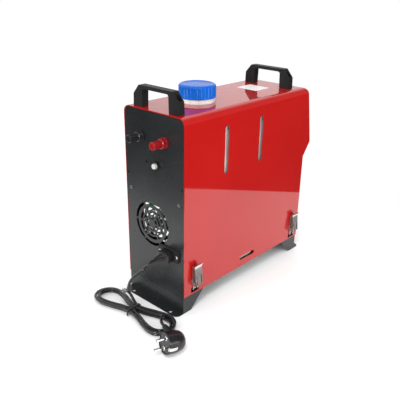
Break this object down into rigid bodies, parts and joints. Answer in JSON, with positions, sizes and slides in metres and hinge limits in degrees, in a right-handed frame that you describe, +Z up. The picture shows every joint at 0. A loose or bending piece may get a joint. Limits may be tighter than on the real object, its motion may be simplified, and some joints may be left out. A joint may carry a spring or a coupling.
{
  "type": "diesel air heater",
  "caption": "Portable diesel air heater in a tall steel case with fuel tank, power terminals, toggle latches, handles and a mains cord.",
  "frame": {"origin": "on the floor under the middle of the heater, the cord left out", "axes": "+X from the power panel towards the warm air outlet, -Y the side with the sight slots, +Z up"},
  "size_m": [0.4917, 0.2404, 0.3935],
  "materials": {
    "red_paint": "gloss",
    "black_sheet": "satin",
    "black_plastic": "moulded",
    "tank_plastic": "translucent",
    "blue_plastic": "moulded",
    "red_plastic": "moulded",
    "white_plastic": "moulded",
    "rubber": "matt",
    "cast_aluminium": "as cast",
    "plated_steel": "zinc plated",
    "heat_wrap": "woven glass fibre",
    "board": "lacquered",
    "cord_pvc": "satin"
  },
  "bodies": {
    "case": {"shell": "red_paint", "rear_panel": "black_sheet", "base_plate": "black_sheet", "rear_foot": "black_sheet", "front_foot": "black_sheet", "handle_rear": "black_plastic", "handle_front": "black_plastic", "fuel_tank": "tank_plastic", "tank_shelf": "black_sheet", "hose_tank": "rubber", "hose_heater": "rubber", "fuel_pump": "cast_aluminium", "heater_casing": "black_plastic", "heat_exchanger": "cast_aluminium", "fan_motor": "black_plastic", "outlet_hood": "black_plastic", "outlet_ring": "black_plastic", "heater_cradle": "black_sheet", "exhaust_pipe": "plated_steel", "exhaust_wrap": "heat_wrap", "intake_pipe": "black_plastic", "psu_case": "plated_steel", "psu_board": "board", "post_black_base": "black_plastic", "post_red_base": "red_plastic", "breaker_body": "black_plastic", "inlet_body": "black_plastic", "cord_connector": "black_plastic", "latch_rear_near_base": "plated_steel", "latch_rear_far_base": "plated_steel", "latch_front_near_base": "plated_steel", "latch_front_far_base": "plated_steel", "control_bezel": "black_plastic", "cord_lead": "cord_pvc", "cord_hank": "cord_pvc", "cord_tail": "cord_pvc", "cord_tie": "cord_pvc", "plug_body": "black_plastic"},
    "seal": {"cap_seal": "rubber"},
    "cap": {"filler_cap": "blue_plastic"},
    "black_washer": {"post_black_washer": "plated_steel"},
    "black_knob": {"post_black_knob": "black_plastic"},
    "red_washer": {"post_red_washer": "plated_steel"},
    "red_knob": {"post_red_knob": "red_plastic"},
    "breaker_push": {"breaker_button": "white_plastic"},
    "fan": {"fan_impeller": "black_plastic"},
    "louvre": {"outlet_louvre": "black_plastic"},
    "button_1": {"control_button_1": "black_plastic"},
    "button_2": {"control_button_2": "black_plastic"},
    "button_3": {"control_button_3": "black_plastic"},
    "button_4": {"control_button_4": "black_plastic"},
    "latch_rear_near_lever": {"latch_rear_near_lever": "plated_steel"},
    "latch_rear_near_bail": {"latch_rear_near_bail": "plated_steel"},
    "latch_rear_far_lever": {"latch_rear_far_lever": "plated_steel"},
    "latch_rear_far_bail": {"latch_rear_far_bail": "plated_steel"},
    "latch_front_near_lever": {"latch_front_near_lever": "plated_steel"},
    "latch_front_near_bail": {"latch_front_near_bail": "plated_steel"},
    "latch_front_far_lever": {"latch_front_far_lever": "plated_steel"},
    "latch_front_far_bail": {"latch_front_far_bail": "plated_steel"}
  },
  "joints": [
    {"name": "cap_rise", "type": "slide", "parent": "case", "child": "seal", "axis": [0, 0, 1], "range_m": [0, 0.006]},
    {"name": "cap_turn", "type": "hinge", "parent": "seal", "child": "cap", "pos_m": [-0.0645, 0.002, 0.375], "axis": [0, 0, 1], "range_deg": [0, 540]},
    {"name": "black_post_open", "type": "slide", "parent": "case", "child": "black_washer", "axis": [-1, 0, 0], "range_m": [0, 0.006]},
    {"name": "black_post_turn", "type": "hinge", "parent": "black_washer", "child": "black_knob", "pos_m": [-0.1885, 0.0292, 0.31], "axis": [-1, 0, 0], "range_deg": [0, 2160]},
    {"name": "red_post_open", "type": "slide", "parent": "case", "child": "red_washer", "axis": [-1, 0, 0], "range_m": [0, 0.006]},
    {"name": "red_post_turn", "type": "hinge", "parent": "red_washer", "child": "red_knob", "pos_m": [-0.1885, -0.0276, 0.31], "axis": [-1, 0, 0], "range_deg": [0, 2160]},
    {"name": "breaker_pop", "type": "slide", "parent": "case", "child": "breaker_push", "axis": [-1, 0, 0], "range_m": [0, 0.003]},
    {"name": "button_1_press", "type": "slide", "parent": "case", "child": "button_1", "axis": [-0.9819, 0, -0.1895], "range_m": [0, 0.0015], "stiffness_N_per_m": 200},
    {"name": "button_2_press", "type": "slide", "parent": "case", "child": "button_2", "axis": [-0.9819, 0, -0.1895], "range_m": [0, 0.0015], "stiffness_N_per_m": 200},
    {"name": "button_3_press", "type": "slide", "parent": "case", "child": "button_3", "axis": [-0.9819, 0, -0.1895], "range_m": [0, 0.0015], "stiffness_N_per_m": 200},
    {"name": "button_4_press", "type": "slide", "parent": "case", "child": "button_4", "axis": [-0.9819, 0, -0.1895], "range_m": [0, 0.0015], "stiffness_N_per_m": 200},
    {"name": "fan_spin", "type": "hinge", "parent": "case", "child": "fan", "pos_m": [-0.0775, 0, 0.126], "axis": [1, 0, 0], "continuous": true},
    {"name": "louvre_turn", "type": "hinge", "parent": "case", "child": "louvre", "pos_m": [0.1765, 0, 0.126], "axis": [1, 0, 0], "continuous": true},
    {"name": "latch_rear_near_open", "type": "hinge", "parent": "case", "child": "latch_rear_near_lever", "pos_m": [-0.1437, -0.0795, 0.058], "axis": [1, 0, 0], "range_deg": [0, 120]},
    {"name": "latch_rear_near_bail", "type": "hinge", "parent": "latch_rear_near_lever", "child": "latch_rear_near_bail", "pos_m": [-0.1437, -0.0763, 0.066], "axis": [1, 0, 0], "range_deg": [-120, 0]},
    {"name": "latch_rear_far_open", "type": "hinge", "parent": "case", "child": "latch_rear_far_lever", "pos_m": [-0.1437, 0.0795, 0.058], "axis": [-1, 0, 0], "range_deg": [0, 120]},
    {"name": "latch_rear_far_bail", "type": "hinge", "parent": "latch_rear_far_lever", "child": "latch_rear_far_bail", "pos_m": [-0.1437, 0.0763, 0.066], "axis": [-1, 0, 0], "range_deg": [-120, 0]},
    {"name": "latch_front_near_open", "type": "hinge", "parent": "case", "child": "latch_front_near_lever", "pos_m": [0.1585, -0.0795, 0.058], "axis": [1, 0, 0], "range_deg": [0, 120]},
    {"name": "latch_front_near_bail", "type": "hinge", "parent": "latch_front_near_lever", "child": "latch_front_near_bail", "pos_m": [0.1585, -0.0763, 0.066], "axis": [1, 0, 0], "range_deg": [-120, 0]},
    {"name": "latch_front_far_open", "type": "hinge", "parent": "case", "child": "latch_front_far_lever", "pos_m": [0.1585, 0.0795, 0.058], "axis": [-1, 0, 0], "range_deg": [0, 120]},
    {"name": "latch_front_far_bail", "type": "hinge", "parent": "latch_front_far_lever", "child": "latch_front_far_bail", "pos_m": [0.1585, 0.0763, 0.066], "axis": [-1, 0, 0], "range_deg": [-120, 0]}
  ],
  "couplings": [
    {"joint": "cap_rise", "follows": "cap_turn", "m_per_rad": 0.00063662},
    {"joint": "black_post_open", "follows": "black_post_turn", "m_per_rad": 0.00015915},
    {"joint": "red_post_open", "follows": "red_post_turn", "m_per_rad": 0.00015915},
    {"joint": "latch_rear_near_bail", "follows": "latch_rear_near_open", "ratio": -1},
    {"joint": "latch_rear_far_bail", "follows": "latch_rear_far_open", "ratio": -1},
    {"joint": "latch_front_near_bail", "follows": "latch_front_near_open", "ratio": -1},
    {"joint": "latch_front_far_bail", "follows": "latch_front_far_open", "ratio": -1}
  ]
}
